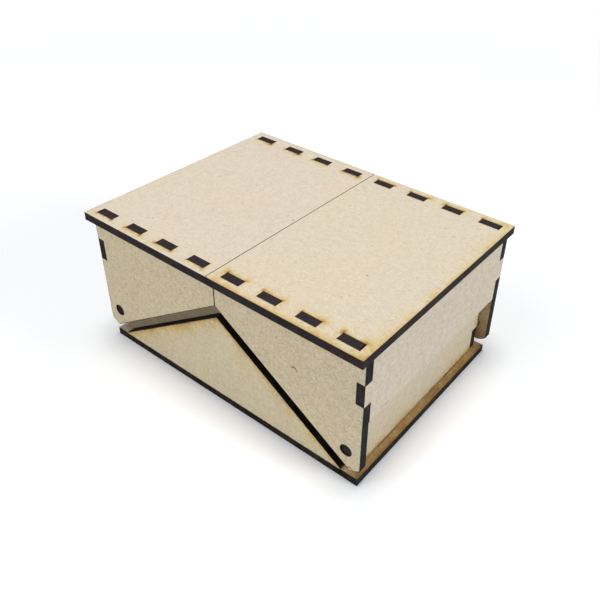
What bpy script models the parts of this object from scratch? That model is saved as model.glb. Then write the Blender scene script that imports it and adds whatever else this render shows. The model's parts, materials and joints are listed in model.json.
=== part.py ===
"""Laser-cut keepsake box: a glued tray whose lid is two wings that swing outwards.

Every piece is cut from one board. The tray is four finger-jointed walls on a base plate, with a
triangular gable on its front and rear. Each wing is half of the lid with a front, a rear and a
side panel, and turns on two square pegs that the tray's end walls push through its round holes.

Metres, +Z up, +X to the right of someone facing the front, which looks along -Y. The origin is
the middle of the base plate's underside.
"""

import math

import bmesh
import bpy
from mathutils import Vector

# Board and clearances
BOARD = 0.003
FIT = 0.0003
SEAM = 0.0004
OVERRUN = 0.001

# Tray, over the outer faces of its walls, and the closed box's height
TRAY_LENGTH = 0.1104
TRAY_WIDTH = 0.0768
BOX_HEIGHT = 0.056
TRAY_FINGERS = 5

# Base plate: how far it stands out past the end walls, and the tabs that hold it
BASE_LEDGE = 0.0028
BASE_TAB_LENGTH = 0.010
BASE_TAB_SHARES = (-0.55, 0.55)

# Gables, and the slot between a gable and the wing above it
GABLE_SETBACK = 0.0037
GABLE_OVERHANG = 0.0005
GABLE_END_HEIGHT = 0.0015
GABLE_PEAK_HEIGHT = 0.0354
SLOT_WIDTH = 0.0038

# Wings: their play round the tray, and how far the lid stands out past their panels
FRONT_PLAY = 0.0006
SIDE_PLAY = 0.00105
FRONT_OVERHANG = 0.003
SIDE_OVERHANG = 0.00075
SIDE_HEIGHT = 0.0255
SIDE_FINGERS = 3
LID_TABS = 4
LID_TAB_SHARE = 0.5

# Pivots
PIVOT_HEIGHT = 0.0142
PEG_HEIGHT = 0.003
PEG_RECESS = 0.0003
PIVOT_PLAY = 0.00013
HEEL_RADIUS = 0.008
BORE_SIDES = 48
HEEL_STEPS = 10

# Places that follow from the sizes, as heights or as distances from the middle
PLATE_TOP = BOARD
LID_UNDER = BOX_HEIGHT - BOARD
TRAY_TOP = LID_UNDER - FIT
TRAY_END = TRAY_LENGTH / 2
TRAY_END_INNER = TRAY_END - BOARD
TRAY_FRONT = TRAY_WIDTH / 2
TRAY_FRONT_INNER = TRAY_FRONT - BOARD
GABLE_END = TRAY_END - GABLE_SETBACK
GABLE_INNER = TRAY_FRONT + FIT
GABLE_OUTER = GABLE_INNER + BOARD
BASE_END = TRAY_END + BASE_LEDGE
BASE_FRONT = GABLE_OUTER - GABLE_OVERHANG
PANEL_INNER = TRAY_FRONT + FRONT_PLAY
PANEL_OUTER = PANEL_INNER + BOARD
SIDE_INNER = TRAY_END + SIDE_PLAY
SIDE_OUTER = SIDE_INNER + BOARD
LID_END = SIDE_OUTER + SIDE_OVERHANG
LID_FRONT = PANEL_OUTER + FRONT_OVERHANG
PIVOT_X = TRAY_END - BOARD / 2
PIVOT_BORE = math.hypot(BOARD, PEG_HEIGHT) + 2 * PIVOT_PLAY
SLOPE = math.atan2(GABLE_PEAK_HEIGHT - GABLE_END_HEIGHT, GABLE_END)

# Colours of the board's faces, linear, by how much the board has darkened
PALE_BOARD = (0.70, 0.60, 0.44, 1.0)
FRONT_BOARD = (0.56, 0.47, 0.31, 1.0)
SIDE_BOARD = (0.63, 0.54, 0.40, 1.0)
TRAY_BOARD = (0.40, 0.31, 0.20, 1.0)
BASE_BOARD = (0.34, 0.22, 0.12, 1.0)
BOARD_ROUGHNESS = 0.8


def clear_scene():
    """Remove every object that the scene starts with."""
    for thing in list(bpy.data.objects):
        bpy.data.objects.remove(thing, do_unlink=True)


def board_material(name, colour):
    """Return a matt board material of one colour."""
    material = bpy.data.materials.new(name)
    material.use_nodes = True
    shader = material.node_tree.nodes["Principled BSDF"]
    shader.inputs["Base Color"].default_value = colour
    shader.inputs["Roughness"].default_value = BOARD_ROUGHNESS
    shader.inputs["Metallic"].default_value = 0.0
    return material


def in_space(axis, across, up, depth):
    """Return the point of a flat outline: its two places, and its depth along the axis."""
    if axis == "X":
        return Vector((depth, across, up))
    if axis == "Y":
        return Vector((across, depth, up))
    return Vector((across, up, depth))


def add_object(name, mesh, parent):
    """Link an object for the mesh, under its parent where it has one."""
    thing = bpy.data.objects.new(name, mesh)
    bpy.context.scene.collection.objects.link(thing)
    thing.parent = parent
    return thing


def origin_of(parent):
    """Return where a piece's own origin lies: at its parent, or at the box's."""
    return parent.location if parent else Vector((0, 0, 0))


def cut_board(name, colour, axis, depths, outline, parent=None):
    """Cut one piece of board: an outline between two depths along an axis.

    The outline is a list of points in the two other axes, in their order.
    """
    origin = origin_of(parent)
    shape = bmesh.new()
    near = [shape.verts.new(in_space(axis, *point, depths[0]) - origin) for point in outline]
    face = shape.faces.new(near)
    grown = bmesh.ops.extrude_face_region(shape, geom=[face])
    far = [item for item in grown["geom"] if isinstance(item, bmesh.types.BMVert)]
    bmesh.ops.translate(shape, verts=far, vec=in_space(axis, 0, 0, depths[1] - depths[0]))
    bmesh.ops.recalc_face_normals(shape, faces=shape.faces)
    mesh = bpy.data.meshes.new(name)
    shape.to_mesh(mesh)
    shape.free()
    mesh.materials.append(board_material(name + "_board", colour))
    return add_object(name, mesh, parent)


def cut_away(piece, cutter):
    """Take a cutter out of a piece, and keep the cutter as a wire guide."""
    cutter.hide_render = True
    cutter.display_type = "WIRE"
    cut = piece.modifiers.new(cutter.name, "BOOLEAN")
    cut.operation = "DIFFERENCE"
    cut.solver = "EXACT"
    cut.object = cutter


def cut_slots(piece, blocks):
    """Cut square slots through a piece.

    Each block is a centre and a size, both in the box's own frame.
    """
    origin = origin_of(piece.parent)
    shape = bmesh.new()
    for centre, size in blocks:
        made = bmesh.ops.create_cube(shape, size=1)
        bmesh.ops.scale(shape, verts=made["verts"], vec=size)
        bmesh.ops.translate(shape, verts=made["verts"], vec=Vector(centre) - origin)
    mesh = bpy.data.meshes.new(piece.name + "_slots")
    shape.to_mesh(mesh)
    shape.free()
    cut_away(piece, add_object(piece.name + "_slots", mesh, piece.parent))


def bore_pivot(piece, depth):
    """Bore the pivot's round hole through a wing panel whose middle is at a depth in Y."""
    shape = bmesh.new()
    bmesh.ops.create_cone(
        shape, cap_ends=True, segments=BORE_SIDES, radius1=PIVOT_BORE / 2,
        radius2=PIVOT_BORE / 2, depth=BOARD + OVERRUN)
    for vert in shape.verts:
        vert.co = Vector((vert.co.x, depth + vert.co.z, vert.co.y))
    bmesh.ops.recalc_face_normals(shape, faces=shape.faces)
    mesh = bpy.data.meshes.new(piece.name + "_bore")
    shape.to_mesh(mesh)
    shape.free()
    cut_away(piece, add_object(piece.name + "_bore", mesh, piece.parent))


def base_tab_places(half_length):
    """Return the middles of the tabs along a wall's lower edge."""
    return [share * half_length for share in BASE_TAB_SHARES]


def wall_foot(half_length):
    """Return a wall's lower edge, left to right, with its tabs down through the base plate."""
    seat = PLATE_TOP + FIT
    points = []
    for middle in base_tab_places(half_length):
        left = middle - BASE_TAB_LENGTH / 2
        right = middle + BASE_TAB_LENGTH / 2
        points += [(left, seat), (left, 0), (right, 0), (right, seat)]
    return points


def finger_ends(low, high, count):
    """Return the low and high ends of the equal steps between two heights."""
    step = (high - low) / count
    return [(low + step * index, low + step * (index + 1)) for index in range(count)]


def tray_steps():
    """Return the heights of the tray corner's finger steps, from the base plate up.

    The long walls have the first step, which ends just under the pegs, and every second one.
    """
    under_peg = PIVOT_HEIGHT - PEG_HEIGHT / 2 - FIT
    return [(PLATE_TOP + FIT, under_peg)] + finger_ends(under_peg, TRAY_TOP, TRAY_FINGERS - 1)


def both_ends(right_edge, foot):
    """Close an outline whose two ends mirror each other, from its right edge, bottom to top."""
    left_edge = [(-across, up) for across, up in reversed(right_edge)]
    return foot + right_edge + left_edge


def make_base_plate():
    """Make the base plate, with a slot for every tab of the walls."""
    outline = [
        (-BASE_END, -BASE_FRONT), (BASE_END, -BASE_FRONT), (BASE_END, BASE_FRONT),
        (-BASE_END, BASE_FRONT)]
    plate = cut_board("base_plate", BASE_BOARD, "Z", (0, PLATE_TOP), outline)
    long_slot = BASE_TAB_LENGTH + 2 * FIT
    wide_slot = BOARD + 2 * FIT
    deep_slot = BOARD + OVERRUN
    blocks = []
    for side in (-1, 1):
        wall = side * (TRAY_FRONT + TRAY_FRONT_INNER) / 2
        for middle in base_tab_places(TRAY_END):
            blocks.append(((middle, wall, PLATE_TOP / 2), (long_slot, wide_slot, deep_slot)))
        for middle in base_tab_places(TRAY_FRONT):
            blocks.append(((side * PIVOT_X, middle, PLATE_TOP / 2), (wide_slot, long_slot, deep_slot)))
    cut_slots(plate, blocks)


def make_tray_wall(name, side):
    """Make a long wall of the tray, notched at its ends for the end walls' fingers."""
    edge = [(TRAY_END, PLATE_TOP + FIT)]
    for index, (low, high) in enumerate(tray_steps()):
        if index % 2:
            edge += [(TRAY_END, low - FIT), (TRAY_END_INNER - FIT, low - FIT)]
            edge += [(TRAY_END_INNER - FIT, high + FIT), (TRAY_END, high + FIT)]
    edge.append((TRAY_END, TRAY_TOP))
    outline = both_ends(edge, wall_foot(TRAY_END))
    cut_board(name, TRAY_BOARD, "Y", (side * TRAY_FRONT, side * TRAY_FRONT_INNER), outline)


def make_end_wall(name, side):
    """Make an end wall of the tray, with its corner fingers and the two pivot pegs."""
    tucked = TRAY_FRONT_INNER - FIT
    peg_tip = PANEL_OUTER - PEG_RECESS
    peg = (PIVOT_HEIGHT - PEG_HEIGHT / 2, PIVOT_HEIGHT + PEG_HEIGHT / 2)
    edge = [(tucked, PLATE_TOP + FIT)]
    for index, (low, high) in enumerate(tray_steps()):
        if index % 2:
            edge += [(tucked, low), (TRAY_FRONT, low)]
            if low < peg[0] < high:
                edge += [(TRAY_FRONT, peg[0]), (peg_tip, peg[0])]
                edge += [(peg_tip, peg[1]), (TRAY_FRONT, peg[1])]
            edge += [(TRAY_FRONT, high), (tucked, high)]
    edge.append((tucked, TRAY_TOP))
    outline = both_ends(edge, wall_foot(TRAY_FRONT))
    cut_board(name, TRAY_BOARD, "X", (side * TRAY_END_INNER, side * TRAY_END), outline)


def make_gable(name, side):
    """Make a gable: a low triangle with blunt ends, glued to the outside of a long wall."""
    seat = PLATE_TOP + FIT
    tip = PLATE_TOP + GABLE_END_HEIGHT
    outline = [
        (-GABLE_END, seat), (GABLE_END, seat), (GABLE_END, tip),
        (0, PLATE_TOP + GABLE_PEAK_HEIGHT), (-GABLE_END, tip)]
    cut_board(name, FRONT_BOARD, "Y", (side * GABLE_OUTER, side * GABLE_INNER), outline)


def make_wing_pivot(name, side):
    """Make the empty that a wing turns about, on the line through its two pegs."""
    pivot = bpy.data.objects.new(name, None)
    bpy.context.scene.collection.objects.link(pivot)
    pivot.location = (side * PIVOT_X, 0, PIVOT_HEIGHT)
    return pivot


def lid_tab_places():
    """Return the middles of the lid's tabs, measured from the seam outwards."""
    pitch = LID_END / LID_TABS
    return [pitch * (index + 0.5) for index in range(LID_TABS)]


def lid_tab_length():
    """Return the length of one lid tab."""
    return LID_END / LID_TABS * LID_TAB_SHARE


def make_top_plate(name, side, pivot):
    """Make half of the lid, with a row of slots for each panel's tabs."""
    inner = side * SEAM / 2
    outer = side * LID_END
    outline = [(inner, -LID_FRONT), (outer, -LID_FRONT), (outer, LID_FRONT), (inner, LID_FRONT)]
    plate = cut_board(name, PALE_BOARD, "Z", (LID_UNDER, BOX_HEIGHT), outline, pivot)
    size = (lid_tab_length() + 2 * FIT, BOARD + 2 * FIT, BOARD + OVERRUN)
    blocks = []
    for middle in lid_tab_places():
        for row in (-1, 1):
            centre = (side * middle, row * (PANEL_OUTER + PANEL_INNER) / 2, LID_UNDER + BOARD / 2)
            blocks.append((centre, size))
    cut_slots(plate, blocks)


def side_steps():
    """Return the heights of the side panel's finger steps."""
    top = LID_UNDER - FIT
    return finger_ends(top - SIDE_HEIGHT, top, SIDE_FINGERS)


def heel_arc():
    """Return the rounded lower corner of a right wing panel, from its outer edge to its slope.

    The arc keeps one distance from the pivot, so it clears the base plate at every angle. It
    ends on the sloping edge, which runs parallel to the gable at the slot's width.
    """
    start = math.asin((SIDE_OUTER - PIVOT_X) / HEEL_RADIUS)
    reach = (slope_height(PIVOT_X) - PIVOT_HEIGHT) * math.cos(SLOPE)
    finish = -SLOPE + math.acos(-reach / HEEL_RADIUS)
    points = []
    for index in range(HEEL_STEPS + 1):
        angle = start + (finish - start) * index / HEEL_STEPS
        across = PIVOT_X + HEEL_RADIUS * math.sin(angle)
        up = PIVOT_HEIGHT - HEEL_RADIUS * math.cos(angle)
        points.append((across, up))
    return points


def slope_height(across):
    """Return the height of a wing panel's sloping edge at a distance from the middle."""
    peak = PLATE_TOP + GABLE_PEAK_HEIGHT + SLOT_WIDTH / math.cos(SLOPE)
    return peak - across * math.tan(SLOPE)


def wing_panel_outline():
    """Return the outline of the right wing's front panel, from the seam's top, clockwise."""
    seat = LID_UNDER - FIT
    half_tab = lid_tab_length() / 2
    points = [(SEAM / 2, seat)]
    for middle in lid_tab_places():
        points += [(middle - half_tab, seat), (middle - half_tab, BOX_HEIGHT)]
        points += [(middle + half_tab, BOX_HEIGHT), (middle + half_tab, seat)]
    points.append((SIDE_OUTER, seat))
    for index, (low, high) in reversed(list(enumerate(side_steps()))):
        if index % 2:
            points += [(SIDE_OUTER, high + FIT), (SIDE_INNER - FIT, high + FIT)]
            points += [(SIDE_INNER - FIT, low - FIT), (SIDE_OUTER, low - FIT)]
    points += heel_arc()
    points.append((SEAM / 2, slope_height(SEAM / 2)))
    return points


def make_wing_panel(name, side, face, pivot):
    """Make the front or rear panel of a wing, with its pivot hole."""
    outline = [(side * across, up) for across, up in wing_panel_outline()]
    depths = (face * PANEL_OUTER, face * PANEL_INNER)
    panel = cut_board(name, FRONT_BOARD, "Y", depths, outline, pivot)
    bore_pivot(panel, face * (PANEL_OUTER + PANEL_INNER) / 2)


def make_side_panel(name, side, pivot):
    """Make the side panel of a wing, which holds its front and rear panels by a finger each."""
    tucked = PANEL_INNER - FIT
    steps = side_steps()
    edge = [(tucked, steps[0][0])]
    for index, (low, high) in enumerate(steps):
        if index % 2:
            edge += [(tucked, low), (PANEL_OUTER, low), (PANEL_OUTER, high), (tucked, high)]
    edge.append((tucked, steps[-1][1]))
    outline = both_ends(edge, [])
    cut_board(name, SIDE_BOARD, "X", (side * SIDE_INNER, side * SIDE_OUTER), outline, pivot)


def make_tray():
    """Make the fixed part of the box: base plate, four walls and two gables."""
    make_base_plate()
    make_tray_wall("front_tray_wall", -1)
    make_tray_wall("rear_tray_wall", 1)
    make_end_wall("left_end_wall", -1)
    make_end_wall("right_end_wall", 1)
    make_gable("front_gable", -1)
    make_gable("rear_gable", 1)


def make_wing(label, side):
    """Make one wing of the lid about its pivot."""
    pivot = make_wing_pivot(label + "_wing_pivot", side)
    make_top_plate(label + "_wing_top_plate", side, pivot)
    make_wing_panel(label + "_wing_front_panel", side, -1, pivot)
    make_wing_panel(label + "_wing_rear_panel", side, 1, pivot)
    make_side_panel(label + "_wing_side_panel", side, pivot)


clear_scene()
make_tray()
make_wing("left", -1)
make_wing("right", 1)
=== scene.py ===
"""Finish and studio for a laser-cut keepsake box with two lid wings.

Every board of the box is raw fibreboard: pale, speckled with fibres, burnt dark on its cut
edges and stained yellow to brown by smoke beside them. Some of that darkening is painted shade:
inside the box, under the lid, at the end walls' feet, in the slots beside the gables and in two
dents. The burnt edges also carry a painted sheen, and are painted lighter where they face up.
All lengths are in metres.
"""

import json
import logging
import math
from collections.abc import Sequence
from dataclasses import dataclass, field
from enum import Enum

import bmesh
import bpy
from mathutils import Matrix, Vector


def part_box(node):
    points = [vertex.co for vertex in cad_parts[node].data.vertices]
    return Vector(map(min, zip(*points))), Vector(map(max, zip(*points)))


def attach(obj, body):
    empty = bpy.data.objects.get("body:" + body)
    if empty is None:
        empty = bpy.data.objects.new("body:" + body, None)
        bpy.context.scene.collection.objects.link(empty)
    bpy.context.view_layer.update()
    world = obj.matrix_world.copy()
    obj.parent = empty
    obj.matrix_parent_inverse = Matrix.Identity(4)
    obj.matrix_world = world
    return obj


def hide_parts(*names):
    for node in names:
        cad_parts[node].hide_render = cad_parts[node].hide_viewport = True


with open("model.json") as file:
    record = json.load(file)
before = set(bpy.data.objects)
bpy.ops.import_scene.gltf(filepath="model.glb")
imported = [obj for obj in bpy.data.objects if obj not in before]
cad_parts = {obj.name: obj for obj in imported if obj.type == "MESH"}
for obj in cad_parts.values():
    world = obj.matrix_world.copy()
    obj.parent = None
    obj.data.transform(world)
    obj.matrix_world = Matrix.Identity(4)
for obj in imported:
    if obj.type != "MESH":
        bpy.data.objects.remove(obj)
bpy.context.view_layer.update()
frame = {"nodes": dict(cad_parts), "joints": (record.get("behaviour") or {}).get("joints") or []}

LOG = logging.getLogger("keepsake_box")

Colour = tuple[float, float, float]
Stops = tuple[tuple[float, Colour], ...]
Socket = bpy.types.NodeSocket
Feed = float | Sequence[float] | Socket

NOWHERE = Vector((0, 0, 0))
ARRIS = 0.00007
ARRIS_SEGMENTS = 2
SAME_PLACE = 0.000002
FIT_REACH = 0.0005
FLAT_ANGLE = math.radians(0.5)
ARRIS_ANGLE = math.radians(30)
SCRATCH_DEPTH = 3.0
EVERY_WAY = Vector((1.0, 1.0, 1.0))


class Facing(Enum):
    """The axis that a board's two faces look along."""

    X = 0
    Y = 1
    Z = 2

    @property
    def axis(self) -> Vector:
        """The direction through the board."""
        return Vector([float(index == self.value) for index in range(3)])


class Side(Enum):
    """Which wing a piece belongs to, and the sign of its place along X."""

    LEFT = -1
    RIGHT = 1

    @property
    def word(self) -> str:
        """The side's word in the names of its nodes."""
        return self.name.lower()


def corner(node: str, x: float, y: float, z: float) -> Vector:
    """Find the corner of a CAD node that lies farthest along the direction (x, y, z)."""
    way = Vector((x, y, z))
    return max((vert.co for vert in frame["nodes"][node].data.vertices), key=way.dot).copy()


def flat(point: Vector, facing: Facing) -> Vector:
    """Drop a point onto the plane that a board's faces are measured in.

    Args:
        point: The point.
        facing: The way the board's faces look.

    Returns:
        The point with no depth.
    """
    dropped = point.copy()
    dropped[facing.value] = 0.0
    return dropped


class Mixer:
    """A material's node tree, with short calls that add nodes and wire them."""

    def __init__(self, name: str) -> None:
        """Start an empty material.

        Args:
            name: The material's name.
        """
        self.material = bpy.data.materials.new(name)
        self.material.use_nodes = True
        self.tree = self.material.node_tree
        self.tree.nodes.clear()

    def node(self, kind: str, **settings: object) -> bpy.types.Node:
        """Add a node.

        Args:
            kind: The node's type, without its common first word.
            settings: The node's own settings.

        Returns:
            The new node.
        """
        made = self.tree.nodes.new("ShaderNode" + kind)
        for key, value in settings.items():
            setattr(made, key, value)
        return made

    def feed(self, socket: Socket, value: Feed) -> None:
        """Link a socket to another, or give it a plain value.

        Args:
            socket: The input.
            value: What goes into it.
        """
        if isinstance(value, bpy.types.NodeSocket):
            self.tree.links.new(value, socket)
        else:
            socket.default_value = value

    def math(self, operation: str, first: Feed, second: Feed = 0.0, clamp: bool = False) -> Socket:
        """Add a sum on numbers.

        Args:
            operation: The Math node's operation.
            first: The first number.
            second: The second number.
            clamp: Whether the result stays between 0 and 1.

        Returns:
            The result.
        """
        made = self.node("Math", operation=operation, use_clamp=clamp)
        self.feed(made.inputs[0], first)
        self.feed(made.inputs[1], second)
        return made.outputs[0]

    def vector(self, operation: str, first: Feed, second: Feed) -> Socket:
        """Add a sum on vectors.

        Args:
            operation: The Vector Math node's operation.
            first: The first vector.
            second: The second vector, or the scale for SCALE.

        Returns:
            The result, a number for a dot product or a distance.
        """
        made = self.node("VectorMath", operation=operation)
        self.feed(made.inputs[0], first)
        self.feed(made.inputs["Scale" if operation == "SCALE" else 1], second)
        return made.outputs["Value" if operation in ("DOT_PRODUCT", "DISTANCE", "LENGTH") else 0]

    def band(self, value: Feed, low: float, high: float) -> Socket:
        """Turn a number into a smooth step.

        Args:
            value: The number.
            low: Where the step is 0.
            high: Where the step is 1.

        Returns:
            The step, from 0 to 1.
        """
        made = self.node("MapRange", interpolation_type="SMOOTHSTEP")
        self.feed(made.inputs["Value"], value)
        made.inputs["From Min"].default_value = low
        made.inputs["From Max"].default_value = high
        return made.outputs["Result"]

    def noise(self, place: Socket, scale: float, detail: float = 2.0, roughness: float = 0.5) -> Socket:
        """Add a cloudy pattern.

        Args:
            place: Where it is read.
            scale: Clouds per metre.
            detail: How many finer layers it has.
            roughness: How strong the finer layers are.

        Returns:
            The pattern, about 0.5 on average.
        """
        made = self.node("TexNoise")
        self.feed(made.inputs["Vector"], place)
        made.inputs["Scale"].default_value = scale
        made.inputs["Detail"].default_value = detail
        made.inputs["Roughness"].default_value = roughness
        return made.outputs["Fac"]

    def blend(self, share: Feed, first: Feed, second: Feed, mode: str = "MIX") -> Socket:
        """Blend two colours.

        Args:
            share: How much of the second colour shows.
            first: The first colour.
            second: The second colour.
            mode: How the second is laid over the first.

        Returns:
            The blended colour.
        """
        made = self.node("Mix", data_type="RGBA", blend_type=mode)
        self.feed(made.inputs["Factor"], share)
        for name, value in (("A", first), ("B", second)):
            socket = next(item for item in made.inputs if item.name == name and item.type == "RGBA")
            self.feed(socket, value if isinstance(value, bpy.types.NodeSocket) else (*value, 1.0))
        return next(item for item in made.outputs if item.type == "RGBA")

    def ramp(self, value: Socket, stops: Stops) -> Socket:
        """Turn a number into a colour.

        Args:
            value: The number, from 0 to 1.
            stops: Places along the ramp with their colours.

        Returns:
            The colour.
        """
        made = self.node("ValToRGB")
        elements = made.color_ramp.elements
        while len(elements) < len(stops):
            elements.new(1.0)
        for element, (place, colour) in zip(elements, stops):
            element.position = place
            element.color = (*colour, 1.0)
        self.feed(made.inputs["Fac"], value)
        return made.outputs["Color"]


@dataclass(frozen=True)
class StraightCut:
    """A straight cut between two points of a board's face."""

    start: Vector
    end: Vector

    def distance(self, mixer: Mixer, place: Socket) -> Socket:
        """Measure how far a place on the face is from the cut.

        Args:
            mixer: The material's node tree.
            place: The place, on the face's own plane.

        Returns:
            The distance.
        """
        along = self.end - self.start
        offset = mixer.vector("SUBTRACT", place, self.start)
        share = mixer.vector("DOT_PRODUCT", offset, along / along.length_squared)
        nearest = mixer.vector("SCALE", along, mixer.math("ADD", share, 0.0, clamp=True))
        return mixer.vector("DISTANCE", offset, nearest)


@dataclass(frozen=True)
class SlotCuts:
    """A row of equal slots along X, or of lines where the size is nothing one way."""

    first: Vector
    pitch: float
    size: Vector

    def distance(self, mixer: Mixer, place: Socket) -> Socket:
        """Measure how far a place on the face is from the nearest slot.

        Args:
            mixer: The material's node tree.
            place: The place, on the face's own plane.

        Returns:
            The distance, which is 0 inside a slot.
        """
        offset = mixer.vector("SUBTRACT", place, self.first)
        turns = mixer.vector("SCALE", offset, 1 / self.pitch)
        nearest = mixer.vector("FLOOR", mixer.vector("ADD", turns, (0.5, 0.0, 0.0)), (0.0, 0.0, 0.0))
        back = mixer.vector("MULTIPLY", nearest, (self.pitch, 0.0, 0.0))
        folded = mixer.vector("ABSOLUTE", mixer.vector("SUBTRACT", offset, back), (0.0, 0.0, 0.0))
        outside = mixer.vector("MAXIMUM", mixer.vector("SUBTRACT", folded, self.size / 2), (0.0, 0.0, 0.0))
        return mixer.vector("LENGTH", outside, (0.0, 0.0, 0.0))


@dataclass(frozen=True)
class RoundCut:
    """A round hole through a board."""

    centre: Vector
    radius: float

    def distance(self, mixer: Mixer, place: Socket) -> Socket:
        """Measure how far a place on the face is from the hole."""
        away = mixer.vector("DISTANCE", place, self.centre)
        return mixer.math("ABSOLUTE", mixer.math("SUBTRACT", away, self.radius))


Cut = StraightCut | SlotCuts | RoundCut
Cuts = tuple[Cut, ...]


def line(facing: Facing, *points: Vector) -> Cuts:
    """Join points of a board's outline with straight cuts, in their order."""
    places = [flat(point, facing) for point in points]
    return tuple(StraightCut(start, end) for start, end in zip(places, places[1:]))


def nearest(mixer: Mixer, place: Socket, cuts: Cuts) -> Socket:
    """Measure how far a place is from the nearest of several cuts.

    Args:
        mixer: The material's node tree.
        place: The place, on the face's own plane.
        cuts: The cuts.

    Returns:
        The distance.
    """
    least = cuts[0].distance(mixer, place)
    for cut in cuts[1:]:
        least = mixer.math("MINIMUM", least, cut.distance(mixer, place))
    return least


@dataclass(frozen=True)
class Smoke:
    """How dark the smoke beside a cut is, from 0 to 1, and how far it reaches."""

    strength: float
    reach: float


@dataclass(frozen=True)
class Stain:
    """Smoke beside some cuts, and where it drifts."""

    cuts: Cuts
    smoke: Smoke
    drift: Vector = field(default_factory=NOWHERE.copy)

    def amount(self, mixer: Mixer, place: Socket, unevenness: Socket) -> Socket:
        """Work out how much smoke lies on a place.

        Args:
            mixer: The material's node tree.
            place: The place, on the face's own plane.
            unevenness: A pattern about 1 that varies the reach.

        Returns:
            The amount, from 0 to 1.
        """
        away = nearest(mixer, mixer.vector("SUBTRACT", place, self.drift), self.cuts)
        reach = mixer.math("MULTIPLY", unevenness, self.smoke.reach)
        fall = mixer.math("EXPONENT", mixer.math("MULTIPLY", mixer.math("DIVIDE", away, reach), -1.0))
        return mixer.math("MULTIPLY", fall, self.smoke.strength)


@dataclass(frozen=True)
class Mark:
    """A small dent, scratch or speck on a board's face."""

    cuts: Cuts
    width: float
    darkness: float
    depth: float = 0.0
    core_share: float = 0.25
    rim_share: float = 0.75

    def amount(self, mixer: Mixer, place: Socket) -> Socket:
        """Work out how much of the mark shows on a place.

        Args:
            mixer: The material's node tree.
            place: The place, on the face's own plane.

        Returns:
            The amount, from 0 to 1.
        """
        away = nearest(mixer, place, self.cuts)
        soft = mixer.band(away, self.width * self.core_share, self.width * self.rim_share)
        return mixer.math("SUBTRACT", 1.0, soft)


AMBER: Stops = (
    (0.0, (1.0, 1.0, 1.0)),
    (0.18, (0.985, 0.945, 0.80)),
    (0.38, (0.94, 0.79, 0.48)),
    (0.58, (0.80, 0.57, 0.29)),
    (0.76, (0.48, 0.31, 0.15)),
    (0.90, (0.16, 0.10, 0.06)),
    (1.0, (0.04, 0.028, 0.03)),
)
OLIVE: Stops = (
    (0.0, (1.0, 1.0, 1.0)),
    (0.18, (0.97, 0.95, 0.80)),
    (0.38, (0.88, 0.80, 0.45)),
    (0.58, (0.74, 0.55, 0.24)),
    (0.76, (0.42, 0.26, 0.11)),
    (0.90, (0.14, 0.085, 0.05)),
    (1.0, (0.04, 0.028, 0.03)),
)
UMBER: Stops = (
    (0.0, (1.0, 1.0, 1.0)),
    (0.18, (0.97, 0.91, 0.79)),
    (0.38, (0.86, 0.70, 0.45)),
    (0.58, (0.60, 0.43, 0.20)),
    (0.76, (0.36, 0.215, 0.085)),
    (0.90, (0.13, 0.075, 0.04)),
    (1.0, (0.04, 0.028, 0.03)),
)


@dataclass(frozen=True)
class Grain:
    """What all the boards' patterns share: scales in clouds per metre, angles, tones and strengths."""

    patch_step: Vector = field(default_factory=lambda: Vector((0.31, 0.17, 0.23)))
    cloud_scale: float = 42.0
    shade: Colour = (0.60, 0.50, 0.36)
    shade_strength: float = 0.22
    pale_fibre: Colour = (0.93, 0.86, 0.72)
    pale_strength: float = 0.34
    pale_angles: tuple[tuple[float, float], ...] = ((20.0, 0.5), (75.0, 0.6), (130.0, 0.6))
    dark_fibre: Colour = (0.33, 0.24, 0.15)
    dark_strength: float = 0.26
    dark_angles: tuple[tuple[float, float], ...] = ((165.0, 0.7), (55.0, 0.8))
    speck: Colour = (0.22, 0.15, 0.10)
    speck_scale: float = 1500.0
    speck_strength: float = 0.45
    waver_scale: float = 150.0
    wisp_scale: float = 700.0
    wisp_strength: float = 0.9
    least_reach: float = 0.08
    smoke_patch_scale: float = 130.0
    # How the smoke and painted shade inside the box vary from patch to patch.
    haze_scale: float = 60.0
    least_haze: float = 0.5
    streak_scale: float = 2600.0
    streak_drop: float = 2400.0
    ash_scale: float = 240.0
    # Painted sheen: patches of the burnt edges are tinted bluish, a reflection painted into their colour.
    blue_scale: float = 170.0
    blue_strength: float = 0.6
    # Painted light: how far burnt edges that face up are turned to a lighter tone, as if lit from above.
    top_strength: float = 0.7
    ragged_scale: float = 1300.0
    mark: Colour = (0.12, 0.085, 0.06)
    face_roughness: float = 0.88
    edge_gloss: float = 0.2
    specular: float = 0.08
    bump_strength: float = 0.5
    bump_height: float = 0.00004


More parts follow.
